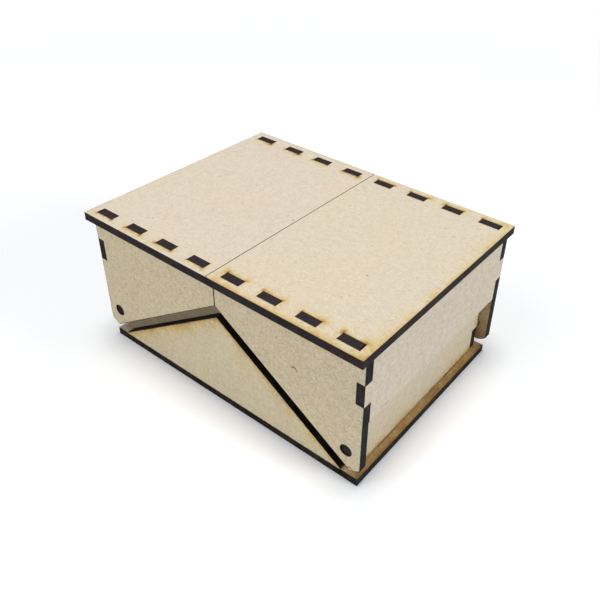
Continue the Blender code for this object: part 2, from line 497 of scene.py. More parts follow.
@dataclass(frozen=True)
class FibreboardFinish:
    """Raw fibreboard, cut by a laser: its faces, its burnt edges and the smoke on it."""

    face: Colour = (0.775, 0.665, 0.505)
    cool: Colour = (0.76, 0.665, 0.525)
    smoke_colours: Stops = AMBER
    fleck_strength: float = 1.0
    mottle_strength: float = 0.7
    mottle_scale: float = 430.0
    # The colour laid on faces that look into the box: partly smoke, partly painted shade inside the box.
    inside: Colour = (0.50, 0.36, 0.23)
    edge_dark: Colour = (0.020, 0.0145, 0.0155)
    edge_light: Colour = (0.058, 0.040, 0.042)
    # Painted sheen on the burnt edges: the bluish tint laid in patches is a reflection painted into the
    # colour.
    edge_blue: Colour = (0.021, 0.020, 0.028)
    # Painted light: the lighter tone of burnt edges that face up, standing in for light from above.
    edge_top: Colour = (0.046, 0.031, 0.035)
    lip_width: float = 0.0001
    second_smoke: Stops = AMBER
    fibre_length: float = 0.0017
    fibre_width: float = 0.00036
    grain: Grain = Grain()

    def fibres(self, mixer: Mixer, place: Socket, facing: Facing, angle: float, rarity: float) -> Socket:
        """Lay one set of fibres that all run roughly one way in the plane of the board.

        Args:
            mixer: The material's node tree.
            place: Where the pattern is read.
            facing: The way the board's faces look.
            angle: The way the fibres run, in degrees.
            rarity: How few the fibres are, from 0 to 1.

        Returns:
            The fibres' pattern, 1 on a fibre and 0 between them.
        """
        across = facing.axis
        flat_way = Vector((across.y + across.z, across.x, 0))
        along = Matrix.Rotation(math.radians(angle), 3, across) @ flat_way
        turn = Matrix((along, across.cross(along), across)).transposed().to_euler()
        mapping = mixer.node("Mapping", vector_type="TEXTURE")
        mixer.feed(mapping.inputs["Vector"], place)
        mapping.inputs["Rotation"].default_value = turn
        mapping.inputs["Scale"].default_value = (self.fibre_length, self.fibre_width, self.fibre_width)
        pattern = mixer.noise(mapping.outputs["Vector"], 1.0, detail=1.0)
        return mixer.band(pattern, 0.54 + 0.1 * rarity, 0.66 + 0.12 * rarity)

    def all_fibres(
            self, mixer: Mixer, place: Socket, facing: Facing,
            angles: Sequence[tuple[float, float]]) -> Socket:
        """Lay several sets of fibres over one another.

        Args:
            mixer: The material's node tree.
            place: Where the pattern is read.
            facing: The way the board's faces look.
            angles: The way each set runs, in degrees, and how few its fibres are.

        Returns:
            The fibres' pattern, 1 on a fibre and 0 between them.
        """
        first, *others = [self.fibres(mixer, place, facing, angle, rarity) for angle, rarity in angles]
        for other in others:
            first = mixer.math("MAXIMUM", first, other)
        return first

    def face_colour(self, mixer: Mixer, place: Socket, facing: Facing) -> tuple[Socket, Socket]:
        """Colour the board's faces: soft clouds, mottling and short fibres.

        Args:
            mixer: The material's node tree.
            place: Where the patterns are read.
            facing: The way the board's faces look.

        Returns:
            The colour, and how high the fibres stand.
        """
        grain = self.grain
        clouds = mixer.band(mixer.noise(place, grain.cloud_scale, detail=3.0), 0.35, 0.65)
        colour = mixer.blend(clouds, self.face, self.cool)
        mottle = mixer.noise(place, self.mottle_scale, detail=5.0, roughness=0.68)
        strength = grain.shade_strength * self.mottle_strength
        shade = mixer.math("MULTIPLY", mixer.band(mottle, 0.36, 0.68), strength)
        colour = mixer.blend(shade, colour, grain.shade, "MULTIPLY")
        pale = self.all_fibres(mixer, place, facing, grain.pale_angles)
        dark = self.all_fibres(mixer, place, facing, grain.dark_angles)
        specks = mixer.band(mixer.noise(place, grain.speck_scale, detail=1.0), 0.70, 0.80)
        layers = (
            (pale, grain.pale_strength, grain.pale_fibre), (dark, grain.dark_strength, grain.dark_fibre),
            (specks, grain.speck_strength, grain.speck))
        for pattern, strength, tone in layers:
            share = mixer.math("MULTIPLY", pattern, strength * self.fleck_strength)
            colour = mixer.blend(share, colour, tone)
        height = mixer.math("SUBTRACT", mixer.math("ADD", pale, mottle), dark)
        return colour, height

    def smoke(self, mixer: Mixer, place: Socket, on_face: Socket, stains: Sequence[Stain]) -> Socket:
        """Gather the smoke from all of a board's cuts.

        Args:
            mixer: The material's node tree.
            place: Where the uneven pattern is read.
            on_face: The same place, on the face's own plane.
            stains: The smoke beside the cuts.

        Returns:
            The amount of smoke, from 0 to 1.
        """
        waver = mixer.band(mixer.noise(place, self.grain.waver_scale, detail=3.0), 0.28, 0.72)
        wisps = mixer.band(mixer.noise(place, self.grain.wisp_scale, detail=3.0), 0.25, 0.75)
        uneven = mixer.math("ADD", waver, mixer.math("MULTIPLY", wisps, self.grain.wisp_strength))
        uneven = mixer.math("ADD", uneven, self.grain.least_reach)
        clear: Feed = 1.0
        for stain in stains:
            amount = stain.amount(mixer, on_face, uneven)
            clear = mixer.math("MULTIPLY", clear, mixer.math("SUBTRACT", 1.0, amount))
        return mixer.math("SUBTRACT", 1.0, clear, clamp=True)

    def edge_colour(self, mixer: Mixer, place: Socket, across: Vector) -> tuple[Socket, Socket]:
        """Colour the burnt edge: dark streaks that the beam left through the board, with patches of painted
        bluish sheen.

        Args:
            mixer: The material's node tree.
            place: Where the pattern is read.
            across: The direction through the board.

        Returns:
            The colour, and how high the streaks stand.
        """
        grain = self.grain
        stretch = EVERY_WAY * grain.streak_scale - across * grain.streak_drop
        streaks = mixer.noise(mixer.vector("MULTIPLY", place, stretch), 1.0, detail=2.0)
        ash = mixer.noise(place, grain.ash_scale, detail=3.0)
        tone = mixer.math("MULTIPLY", mixer.band(streaks, 0.15, 0.85), mixer.band(ash, 0.25, 0.70))
        colour = mixer.blend(tone, self.edge_dark, self.edge_light)
        # Painted sheen: a bluish reflection laid into the burnt colour in patches.
        sheen_patches_painted = mixer.band(mixer.noise(place, grain.blue_scale, detail=2.0), 0.50, 0.68)
        share = mixer.math("MULTIPLY", sheen_patches_painted, grain.blue_strength)
        return mixer.blend(share, colour, self.edge_blue), streaks

    def smoked(self, mixer: Mixer, board: "Board", patch: Socket, on_face: Socket, colour: Socket) -> Socket:
        """Lay the smoke over the board's faces, in two hues that change from patch to patch.

        Args:
            mixer: The material's node tree.
            board: The board.
            patch: Where the uneven patterns are read.
            on_face: The place on the face's own plane.
            colour: The faces' colour.

        Returns:
            The stained colour.
        """
        smoke = self.smoke(mixer, patch, on_face, board.stains)
        hues = mixer.noise(patch, self.grain.smoke_patch_scale, detail=3.0, roughness=0.6)
        tint = mixer.blend(
            mixer.band(hues, 0.42, 0.60), mixer.ramp(smoke, self.smoke_colours),
            mixer.ramp(smoke, self.second_smoke))
        return mixer.blend(1.0, colour, tint, "MULTIPLY")

    def browned_inside(
            self, mixer: Mixer, board: "Board", patch: Socket, lean: Socket, colour: Socket) -> Socket:
        """Darken and brown the face that looks into the box: partly smoke that hung there, partly painted
        shade inside the box.

        Args:
            mixer: The material's node tree.
            board: The board.
            patch: Where the uneven pattern is read.
            lean: How far the surface looks along the board's axis.
            colour: The faces' colour.

        Returns:
            The browned colour.
        """
        # Faces that look into the box get smoke and painted shade; the haze pattern varies it.
        inside = mixer.band(mixer.math("MULTIPLY", lean, -float(board.outward)), 0.5, 0.9)
        haze = mixer.band(mixer.noise(patch, self.grain.haze_scale, detail=3.0), 0.25, 0.75)
        haze = mixer.math("ADD", haze, self.grain.least_haze)
        haze = mixer.math("MULTIPLY", haze, board.inner_smoke)
        share = mixer.math("MULTIPLY", haze, inside, clamp=True)
        return mixer.blend(share, colour, self.inside, "MULTIPLY")

    def charred(self, mixer: Mixer, board: "Board", patch: Socket, on_face: Socket, on_cut: Socket) -> Socket:
        """Find what is burnt black: the cut edges, and a ragged lip along them where there is one.

        Args:
            mixer: The material's node tree.
            board: The board.
            patch: Where the ragged pattern is read.
            on_face: The place on the face's own plane.
            on_cut: The cut edges, 1 on them and 0 on the faces.

        Returns:
            The burnt places, from 0 to 1.
        """
        if not board.lips:
            return on_cut
        noise = mixer.noise(patch, self.grain.ragged_scale, detail=2.0)
        ragged = mixer.math("MULTIPLY", noise, self.lip_width)
        rim = mixer.math("SUBTRACT", nearest(mixer, on_face, board.lips), ragged)
        lip = mixer.math("SUBTRACT", 1.0, mixer.band(rim, 0.0, self.lip_width * 0.9))
        return mixer.math("MAXIMUM", on_cut, lip)

    def shader(
            self, mixer: Mixer, colour: Socket, on_cut: Socket, heights: tuple[Socket, Socket]) -> Socket:
        """Make the shader, with its roughness and its fine relief.

        Args:
            mixer: The material's node tree.
            colour: The finished colour.
            on_cut: The cut edges, 1 on them and 0 on the faces.
            heights: The relief of the faces and that of the edges.

        Returns:
            The shader.
        """
        relief = mixer.node("Mix", data_type="FLOAT")
        for name, value in zip(("Factor", "A", "B"), (on_cut, *heights)):
            mixer.feed(next(s for s in relief.inputs if s.name == name and s.type == "VALUE"), value)
        bump = mixer.node("Bump")
        bump.inputs["Strength"].default_value = self.grain.bump_strength
        bump.inputs["Distance"].default_value = self.grain.bump_height
        mixer.feed(bump.inputs["Height"], relief.outputs[0])
        smoother = mixer.math("MULTIPLY", on_cut, self.grain.edge_gloss)
        shader = mixer.node("BsdfPrincipled")
        shader.inputs["Specular IOR Level"].default_value = self.grain.specular
        mixer.feed(shader.inputs["Base Color"], colour)
        mixer.feed(shader.inputs["Roughness"], mixer.math("SUBTRACT", self.grain.face_roughness, smoother))
        mixer.feed(shader.inputs["Normal"], bump.outputs["Normal"])
        return shader.outputs["BSDF"]

    def build(self, board: "Board", seed: int) -> bpy.types.Material:
        """Make the finish for one board.

        Args:
            board: The board.
            seed: A whole number that picks the board's own patch of the patterns.

        Returns:
            The material.
        """
        mixer = Mixer(board.node + "_fibreboard")
        across = board.facing.axis
        place = mixer.node("TexCoord").outputs["Object"]
        patch = mixer.vector("ADD", place, self.grain.patch_step * seed)
        on_face = mixer.vector("MULTIPLY", place, EVERY_WAY - across)
        turned = mixer.node(
            "VectorTransform", vector_type="NORMAL", convert_from="WORLD", convert_to="OBJECT")
        mixer.feed(turned.inputs[0], mixer.node("NewGeometry").outputs["True Normal"])
        lean = mixer.vector("DOT_PRODUCT", turned.outputs[0], across)
        on_cut = mixer.math("SUBTRACT", 1.0, mixer.band(mixer.math("ABSOLUTE", lean), 0.90, 0.99))
        colour, height = self.face_colour(mixer, patch, board.facing)
        if board.inner_smoke:
            colour = self.browned_inside(mixer, board, patch, lean, colour)
        colour = self.smoked(mixer, board, patch, on_face, colour)
        for mark in board.marks:
            shown = mark.amount(mixer, on_face)
            colour = mixer.blend(mixer.math("MULTIPLY", shown, mark.darkness), colour, self.grain.mark)
            height = mixer.math("SUBTRACT", height, mixer.math("MULTIPLY", shown, mark.depth))
        burnt, streaks = self.edge_colour(mixer, patch, across)
        # Painted light: burnt edges that face up are laid over with a lighter tone, as light from above would
        # show them.
        faces_up_painted_light = mixer.band(mixer.vector("DOT_PRODUCT", turned.outputs[0], Facing.Z.axis), 0.90, 0.99)
        burnt = mixer.blend(mixer.math("MULTIPLY", faces_up_painted_light, self.grain.top_strength), burnt, self.edge_top)
        colour = mixer.blend(self.charred(mixer, board, patch, on_face, on_cut), colour, burnt)
        output = mixer.node("OutputMaterial")
        mixer.feed(output.inputs["Surface"], self.shader(mixer, colour, on_cut, (height, streaks)))
        return mixer.material


@dataclass(frozen=True)
class Board:
    """One flat piece of board: its CAD node, the way it faces, and what its finish shows."""

    node: str
    body: str
    facing: Facing
    finish: FibreboardFinish
    stains: tuple[Stain, ...]
    lips: Cuts
    outward: int = 1
    # How much smoke and painted shade darken the face that looks into the box.
    inner_smoke: float = 0.0
    marks: tuple[Mark, ...] = ()
    holds: tuple[str, ...] = ()
    snug: Vector = field(default_factory=NOWHERE.copy)
    seam_share: float = 1.0

    def dress(self, seed: int) -> bpy.types.Object:
        """Give the board its finish and its slightly rounded arrises.

        Args:
            seed: A whole number that picks the board's own patch of the patterns.

        Returns:
            The board's object.
        """
        made = self.finish.build(self, seed)
        piece = frame["nodes"][self.node]
        if self.holds:
            piece = self.refit(piece)
            piece.data.materials.append(made)
            return piece
        for slot in piece.material_slots:
            slot.material = made
        self.soften(piece)
        return piece

    def refit(self, source: bpy.types.Object) -> bpy.types.Object:
        """Copy the board with its slots drawn up to the tabs that they hold, as a laser cuts them.

        Args:
            source: The board's CAD object.

        Returns:
            The copy, which takes the CAD object's place.
        """
        work = bmesh.new()
        work.from_mesh(source.data)
        bmesh.ops.remove_doubles(work, verts=work.verts, dist=SAME_PLACE)
        bmesh.ops.dissolve_limit(work, angle_limit=FLAT_ANGLE, verts=work.verts, edges=work.edges)
        held = [
            flat(vert.co, self.facing) for name in self.holds
            for vert in frame["nodes"][name].data.vertices]
        for vert in work.verts:
            place = flat(vert.co, self.facing)
            pull = min((spot - place for spot in held), key=lambda step: step.length)
            if pull.length < FIT_REACH:
                vert.co += Vector([step * share for step, share in zip(pull, self.snug)])
            if abs(vert.co.x) < FIT_REACH:
                vert.co.x *= self.seam_share
        sharp = [edge for edge in work.edges if edge.is_manifold and edge.calc_face_angle() > ARRIS_ANGLE]
        bmesh.ops.bevel(
            work, geom=sharp, offset=ARRIS, segments=ARRIS_SEGMENTS, profile=0.5, affect="EDGES",
            material=-1, clamp_overlap=True)
        mesh = bpy.data.meshes.new(self.node + "_cut")
        work.to_mesh(mesh)
        work.free()
        piece = bpy.data.objects.new(self.node + "_cut", mesh)
        bpy.context.scene.collection.objects.link(piece)
        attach(piece, self.body)
        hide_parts(self.node)
        return piece

    def soften(self, piece: bpy.types.Object) -> None:
        """Round the arrises a little, as burning leaves them.

        Args:
            piece: The board's object.
        """
        weld = piece.modifiers.new("join_facets", "WELD")
        weld.merge_threshold = SAME_PLACE
        plain = piece.modifiers.new("plain_faces", "DECIMATE")
        plain.decimate_type = "DISSOLVE"
        plain.angle_limit = FLAT_ANGLE
        bevel = piece.modifiers.new("burnt_arris", "BEVEL")
        bevel.width = ARRIS
        bevel.segments = ARRIS_SEGMENTS
        bevel.limit_method = "ANGLE"
        bevel.angle_limit = ARRIS_ANGLE


@dataclass(frozen=True)
class Tray:
    """The fixed part: base plate, four walls and two gables."""

    base_finish: FibreboardFinish = FibreboardFinish(
        face=(0.72, 0.62, 0.47), cool=(0.70, 0.61, 0.48), smoke_colours=UMBER, second_smoke=AMBER,
        edge_dark=(0.008, 0.0075, 0.008), edge_light=(0.066, 0.048, 0.038))
    # The long walls' face colour is darker and browner than the other boards': partly smoke, partly painted
    # shade under the wings.
    wall_finish: FibreboardFinish = FibreboardFinish(
        face=(0.60, 0.47, 0.29), cool=(0.58, 0.47, 0.31), smoke_colours=UMBER, second_smoke=OLIVE)
    # The end walls' wider char lip runs along the foot and the top; along the foot it is partly painted
    # shade.
    end_finish: FibreboardFinish = FibreboardFinish(
        face=(0.70, 0.60, 0.45), cool=(0.68, 0.60, 0.46), smoke_colours=UMBER, second_smoke=OLIVE,
        lip_width=0.00024)
    # The gable's burnt edges are painted near black and its char lip is wider: the burn, darkened further as
    # painted shade in the deep slot under the wing panels.
    gable_finish: FibreboardFinish = FibreboardFinish(
        face=(0.80, 0.69, 0.475), cool=(0.78, 0.68, 0.485), smoke_colours=UMBER, second_smoke=AMBER,
        mottle_scale=650.0, mottle_strength=1.0, lip_width=0.0004,
        edge_dark=(0.004, 0.003, 0.002), edge_light=(0.020, 0.014, 0.010))
    body: str = "tray"
    base_snug: tuple[float, float, float] = (0.9, 0.9, 0.0)
    ledge: Smoke = Smoke(0.46, 0.0100)
    ledge_rim: Smoke = Smoke(0.46, 0.0015)
    far_rim: Smoke = Smoke(0.12, 0.0008)
    long_rims: Smoke = Smoke(0.20, 0.0010)
    wall_top: Smoke = Smoke(0.40, 0.0010)
    wall_ends: Smoke = Smoke(0.45, 0.0020)
    # The end wall darkens towards its foot, and more at the rear: partly smoke, partly painted shade in the
    # crease at the base.
    foot_line: Smoke = Smoke(0.52, 0.0011)
    foot_haze: Smoke = Smoke(0.16, 0.0045)
    rear_foot: Smoke = Smoke(0.28, 0.0025)
    rear_foot_share: float = 0.55
    end_sides: Smoke = Smoke(0.30, 0.0014)
    end_top: Smoke = Smoke(0.30, 0.0010)
    smoky_slope: Smoke = Smoke(0.58, 0.0026)
    slope_rim: Smoke = Smoke(0.22, 0.0004)
    clean_slope: Smoke = Smoke(0.52, 0.0022)
    # The dark strip along the gable's foot is partly smoke, partly painted shade where it stands on the base.
    gable_foot: Smoke = Smoke(0.70, 0.0003)

    def base_plate(self) -> Board:
        """Describe the base plate, whose ledges took the most smoke."""
        low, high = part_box("base_plate")
        near, far = Vector((high.x, low.y, 0)), Vector((low.x, high.y, 0))
        smoky, clean = line(Facing.Z, near, high), line(Facing.Z, low, far)
        sides = line(Facing.Z, low, near) + line(Facing.Z, far, high)
        stains = (
            Stain(smoky, self.ledge), Stain(smoky, self.ledge_rim), Stain(clean, self.far_rim),
            Stain(sides, self.long_rims))
        walls = ("front_tray_wall", "rear_tray_wall", "left_end_wall", "right_end_wall")
        return Board(
            "base_plate", self.body, Facing.Z, self.base_finish, stains, smoky + clean + sides, holds=walls,
            snug=Vector(self.base_snug))

    def long_wall(self, name: str, out: int) -> Board:
        """Describe a long wall of the tray.

        Args:
            name: The wall's node.
            out: The sign of its outer face along Y.

        Returns:
            The board.
        """
        low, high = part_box(name)
        top = line(Facing.Y, Vector((low.x, 0, high.z)), high)
        ends = line(Facing.Y, low, Vector((low.x, 0, high.z)))
        ends += line(Facing.Y, Vector((high.x, 0, low.z)), high)
        stains = (Stain(top, self.wall_top), Stain(ends, self.wall_ends))
        return Board(name, self.body, Facing.Y, self.wall_finish, stains, top + ends, outward=out)

    def end_wall(self, side: Side) -> Board:
        """Describe an end wall, with a dark line along its foot: partly burn, partly painted shade where it
        meets the base.

        Args:
            side: Which end of the tray.

        Returns:
            The board.
        """
        name = f"{side.word}_end_wall"
        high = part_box(name)[1]
        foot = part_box("base_plate")[1].z
        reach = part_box("rear_tray_wall")[1].y
        bottom = line(Facing.X, Vector((0, -reach, foot)), Vector((0, reach, foot)))
        rear_foot = line(Facing.X, Vector((0, reach * self.rear_foot_share, foot)), Vector((0, reach, foot)))
        top = line(Facing.X, Vector((0, -reach, high.z)), Vector((0, reach, high.z)))
        ends = line(Facing.X, Vector((0, -reach, foot)), Vector((0, -reach, high.z)))
        ends += line(Facing.X, Vector((0, reach, foot)), Vector((0, reach, high.z)))
        # The foot stains are partly smoke, partly painted shade where the wall meets the base.
        stains = (
            Stain(bottom, self.foot_line), Stain(bottom, self.foot_haze), Stain(rear_foot, self.rear_foot),
            Stain(ends, self.end_sides), Stain(top, self.end_top))
        return Board(name, self.body, Facing.X, self.end_finish, stains, bottom + top, outward=side.value)

    def gable(self, name: str, out: int) -> Board:
        """Describe a gable, browned along its two slopes.

        Args:
            name: The gable's node.
            out: The sign of its outer face along Y.

        Returns:
            The board.
        """
        peak = corner(name, 0, 0, 1)
        left = corner(name, -1, 0, 0.5)
        right = corner(name, 1, 0, 0.5)
        smoky = line(Facing.Y, left, peak)
        clean = line(Facing.Y, peak, right)
        low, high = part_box(name)
        foot = line(Facing.Y, low, Vector((high.x, 0, low.z)))
        stains = (
            Stain(smoky, self.smoky_slope), Stain(smoky, self.slope_rim), Stain(clean, self.clean_slope),
            Stain(foot, self.gable_foot))
        return Board(name, self.body, Facing.Y, self.gable_finish, stains, smoky + clean + foot, outward=out)

    def boards(self) -> list[Board]:
        """List the tray's boards."""
        return [
            self.base_plate(), self.long_wall("front_tray_wall", -1), self.long_wall("rear_tray_wall", 1),
            self.end_wall(Side.LEFT), self.end_wall(Side.RIGHT),
            self.gable("front_gable", -1), self.gable("rear_gable", 1)]


@dataclass(frozen=True)
class LidSmoke:
    """How strongly each cut of one top plate smoked."""

    rims: Smoke = Smoke(0.44, 0.00060)
    haze: Smoke = Smoke(0.30, 0.0015)
    spikes: Smoke = Smoke(0.60, 0.00070)
    far_spikes: Smoke = Smoke(0.36, 0.00056)
    slots: Smoke = Smoke(0.10, 0.0004)
    smoky_edge: Smoke = Smoke(0.58, 0.0014)
    clean_edge: Smoke = Smoke(0.12, 0.0005)
    end: Smoke = Smoke(0.44, 0.0017)


@dataclass(frozen=True)
class Wing:
    """One wing of the lid: a top plate on two panels and a side panel."""

    side: Side
    lid_smoke: LidSmoke = LidSmoke()
    lid_finish: FibreboardFinish = FibreboardFinish(second_smoke=OLIVE)
    panel_finish: FibreboardFinish = FibreboardFinish(
        face=(0.775, 0.66, 0.45), cool=(0.755, 0.65, 0.465), fleck_strength=1.7, mottle_strength=1.5,
        mottle_scale=800.0, fibre_length=0.0012, lip_width=0.00022,
        # The last colour here is the panels' painted sheen on their burnt edges.
        edge_dark=(0.010, 0.010, 0.011), edge_light=(0.040, 0.037, 0.041), edge_blue=(0.011, 0.013, 0.020))
    # The side panel's char lip runs only along its top and is drawn half a millimetre wide: partly burnt
    # edge, partly painted shadow under the lid.
    side_finish: FibreboardFinish = FibreboardFinish(
        face=(0.72, 0.635, 0.51), cool=(0.71, 0.635, 0.53), fleck_strength=1.2, mottle_strength=1.2,
        lip_width=0.0005)
    lid_marks: tuple[Mark, ...] = ()
    panel_marks: tuple[Mark, ...] = ()
    side_marks: tuple[Mark, ...] = ()
    tabs: int = 4
    tab_share: float = 0.5
    slot_gap: float = 0.00008
    bore_radius: float = 0.00225
    haze_drift: tuple[float, float] = (0.0003, 0.0005)
    spike_length: float = 0.0007
    lid_snug: tuple[float, float, float] = (0.9, 0.5, 0.0)
    panel_snug: tuple[float, float, float] = (0.9, 0.0, 0.9)
    seam_share: float = 0.4
    # How strongly the faces that look into the box are darkened: partly smoke, partly painted shade.
    panel_haze: float = 0.9
    side_haze: float = 0.6
    slope_smoke: Smoke = Smoke(0.16, 0.0006)
    outline_smoke: Smoke = Smoke(0.10, 0.0005)
    bore_smoke: Smoke = Smoke(0.25, 0.0003)
    # Painted shadow under the lid: a dark strip along the panels' top, where they meet the lid.
    under_lid_smoke: Smoke = Smoke(0.60, 0.0002)
    side_foot: Smoke = Smoke(0.06, 0.0010)
    side_ends: Smoke = Smoke(0.05, 0.0006)
    # Painted shadow under the lid's overhang, along the side panel's top.
    side_top: Smoke = Smoke(0.50, 0.0004)

    @property
    def body(self) -> str:
        """The wing's body."""
        return f"{self.side.word}_wing"

    @property
    def under_lid(self) -> float:
        """The height of the top plate's lower face."""
        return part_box(self.node("top_plate"))[0].z

    def node(self, part: str) -> str:
        """Name the wing's node for one of its parts."""
        return f"{self.side.word}_wing_{part}"

    def slot_row(self, panel: str) -> SlotCuts:
        """Read where a panel's tabs come through the top plate.

        Args:
            panel: The panel's node.

        Returns:
            The row of slots.
        """
        low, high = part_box(self.node("top_plate"))
        pitch = max(abs(low.x), abs(high.x)) / self.tabs
        row = sum(end.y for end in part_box(panel)) / 2
        size = Vector((pitch * self.tab_share + 2 * self.slot_gap, high.z - low.z + 2 * self.slot_gap, 0))
        return SlotCuts(Vector((self.side.value * pitch / 2, row, 0)), pitch, size)

    def rims(self, slots: SlotCuts) -> SlotCuts:
        """Find the long edges of a row of slots that took the smoke."""
        away = Vector((0, slots.size.y / 2, 0)) * self.side.value
        return SlotCuts(slots.first + away, slots.pitch, Vector((slots.size.x, 0, 0)))

    def spikes(self, slots: SlotCuts, end: int) -> SlotCuts:
        """Find the corners where the beam turned, with the soot that it threw back.

        Args:
            slots: A row of slots.
            end: Which end of each slot: -1 for the one nearer the middle of the lid, 1 for the other.

        Returns:
            A row of short lines, one from the corner of each slot.
        """
        length = self.spike_length if end < 0 else self.spike_length / 2
        away = Vector((end * slots.size.x / 2, slots.size.y / 2 + length / 2, 0)) * self.side.value
        return SlotCuts(slots.first + away, slots.pitch, Vector((0, length, 0)))

    def top_plate(self) -> Board:
        """Describe the wing's half of the lid; the two halves are one part, turned half a turn."""
        sign = self.side.value
        low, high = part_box(self.node("top_plate"))
        inner, outer = sorted((low.x, high.x), key=abs)
        smoky_y, clean_y = (low.y, high.y) if sign > 0 else (high.y, low.y)
        panels = (self.node("front_panel"), self.node("rear_panel"))
        slots = tuple(self.slot_row(panel) for panel in panels)
        rims = tuple(self.rims(row) for row in slots)
        spikes = tuple(self.spikes(row, -1) for row in slots)
        far_spikes = tuple(self.spikes(row, 1) for row in slots)
        end = line(Facing.Z, Vector((outer, low.y, 0)), Vector((outer, high.y, 0)))
        smoky = line(Facing.Z, Vector((inner, smoky_y, 0)), Vector((outer, smoky_y, 0)))
        clean = line(Facing.Z, Vector((inner, clean_y, 0)), Vector((outer, clean_y, 0)))
        smoke = self.lid_smoke
        stains = (
            Stain(rims, smoke.rims), Stain(rims, smoke.haze, Vector((*self.haze_drift, 0)) * sign),
            Stain(spikes, smoke.spikes), Stain(far_spikes, smoke.far_spikes), Stain(slots, smoke.slots),
            Stain(end, smoke.end), Stain(smoky, smoke.smoky_edge), Stain(clean, smoke.clean_edge))
        return Board(
            self.node("top_plate"), self.body, Facing.Z, self.lid_finish, stains,
            end + smoky + clean, marks=self.lid_marks, holds=panels, snug=Vector(self.lid_snug),
            seam_share=self.seam_share)

    def panel(self, part: str, out: int) -> Board:
        """Describe the front or rear panel.

        Args:
            part: The panel's part of its node's name.
            out: The sign of its outer face along Y.

        Returns:
            The board.
        """
        name = self.node(part)
        side_panel = self.node("side_panel")
        sign = self.side.value
        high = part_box(name)[1]
        outer = max((end.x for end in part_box(side_panel)), key=abs)
        inner = min((end.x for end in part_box(side_panel)), key=abs)
        finger_low = corner(side_panel, 0, 1, -0.1).z
        finger_high = corner(side_panel, 0, 1, 0.1).z
        peak = corner(name, -sign, 0, -1)
        ankle = corner(name, sign, 0, -1)
        slope = line(Facing.Y, peak, corner(name, 0, 0, -1), corner(name, sign * 0.45, 0, -1), ankle)
        upright = line(Facing.Y, ankle, Vector((outer, 0, high.z)))
        finger = line(
            Facing.Y, Vector((outer, 0, finger_low)), Vector((inner, 0, finger_low)),
            Vector((inner, 0, finger_high)), Vector((outer, 0, finger_high)))
        seam = line(Facing.Y, peak, Vector((peak.x, 0, high.z)))
        top = line(Facing.Y, Vector((peak.x, 0, self.under_lid)), Vector((outer, 0, self.under_lid)))
        hinge = next(joint for joint in frame["joints"] if joint["child"] == self.body)
        bore = (RoundCut(flat(Vector(hinge["pos_m"]), Facing.Y), self.bore_radius),)
        # The strip along the panels' top is painted shadow under the lid.
        stains = (
            Stain(slope, self.slope_smoke), Stain(upright + seam + finger, self.outline_smoke),
            Stain(bore, self.bore_smoke), Stain(top, self.under_lid_smoke))
        return Board(
            name, self.body, Facing.Y, self.panel_finish, stains, slope + upright + top, outward=out,
            inner_smoke=self.panel_haze, marks=self.panel_marks if out < 0 else (),
            holds=(side_panel,), snug=Vector(self.panel_snug))

    def side_panel(self) -> Board:
        """Describe the short side panel."""
        name = self.node("side_panel")
        low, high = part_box(name)
        reach = corner(name, 0, 0.1, -1).y
        foot = line(Facing.X, Vector((0, -reach, low.z)), Vector((0, reach, low.z)))
        ends = line(Facing.X, Vector((0, -reach, low.z)), Vector((0, -reach, high.z)))
        ends += line(Facing.X, Vector((0, reach, low.z)), Vector((0, reach, high.z)))
        top = line(Facing.X, Vector((0, -reach, self.under_lid)), Vector((0, reach, self.under_lid)))
        # The stain along the top is painted shadow under the lid.
        stains = (Stain(foot, self.side_foot), Stain(ends, self.side_ends), Stain(top, self.side_top))
        return Board(
            name, self.body, Facing.X, self.side_finish, stains, top, outward=self.side.value,
            inner_smoke=self.side_haze, marks=self.side_marks)

    def boards(self) -> list[Board]:
        """List the wing's boards."""
        return [
            self.top_plate(), self.panel("front_panel", -1), self.panel("rear_panel", 1),
            self.side_panel()]


def speck(facing: Facing, place: tuple[float, float, float], width: float, darkness: float) -> Mark:
    """Describe a dark speck by its middle, its width and its darkness from 0 to 1."""
    return Mark((RoundCut(flat(Vector(place), facing), 0.0),), width, darkness)


def scratch(
        facing: Facing, places: Sequence[tuple[float, float, float]], width: float, darkness: float) -> Mark:
    """Describe a thin scratch or bent dent by the points that it passes, its width and its darkness."""
    return Mark(line(facing, *(Vector(place) for place in places)), width, darkness, depth=SCRATCH_DEPTH)


LEFT_LID_MARKS = (speck(Facing.Z, (-0.0014, -0.0021, 0), 0.0009, 0.35),)
RIGHT_LID_MARKS = (
    speck(Facing.Z, (0.0378, -0.0124, 0), 0.0007, 0.70),
    speck(Facing.Z, (0.0383, -0.0263, 0), 0.0005, 0.5),
    speck(Facing.Z, (0.0473, 0.0248, 0), 0.0016, 0.16),
    speck(Facing.Z, (0.0422, 0.0277, 0), 0.0016, 0.14))
# The two bent dents are drawn as dark crescents over a shallow groove; their dark is partly painted shade in
# the dents.
RIGHT_PANEL_MARKS = (
    scratch(Facing.Y, ((0.0322, 0, 0.0357), (0.0334, 0, 0.0361), (0.0344, 0, 0.0352)), 0.00045, 0.85),
    scratch(Facing.Y, ((0.0546, 0, 0.0073), (0.0556, 0, 0.0079), (0.0565, 0, 0.0071)), 0.00040, 0.80))
LEFT_LID_SMOKE = LidSmoke(
    rims=Smoke(0.36, 0.00060), haze=Smoke(0.24, 0.0010), smoky_edge=Smoke(0.55, 0.0004),
    clean_edge=Smoke(0.05, 0.0005), end=Smoke(0.50, 0.0003))
LEFT_LID_FINISH = FibreboardFinish(
    face=(0.775, 0.665, 0.515), cool=(0.76, 0.665, 0.535), smoke_colours=OLIVE, second_smoke=UMBER)
RIGHT_SIDE_MARKS = (scratch(Facing.X, ((0, -0.0328, 0.0287), (0, -0.0286, 0.0283)), 0.0003, 0.35),)


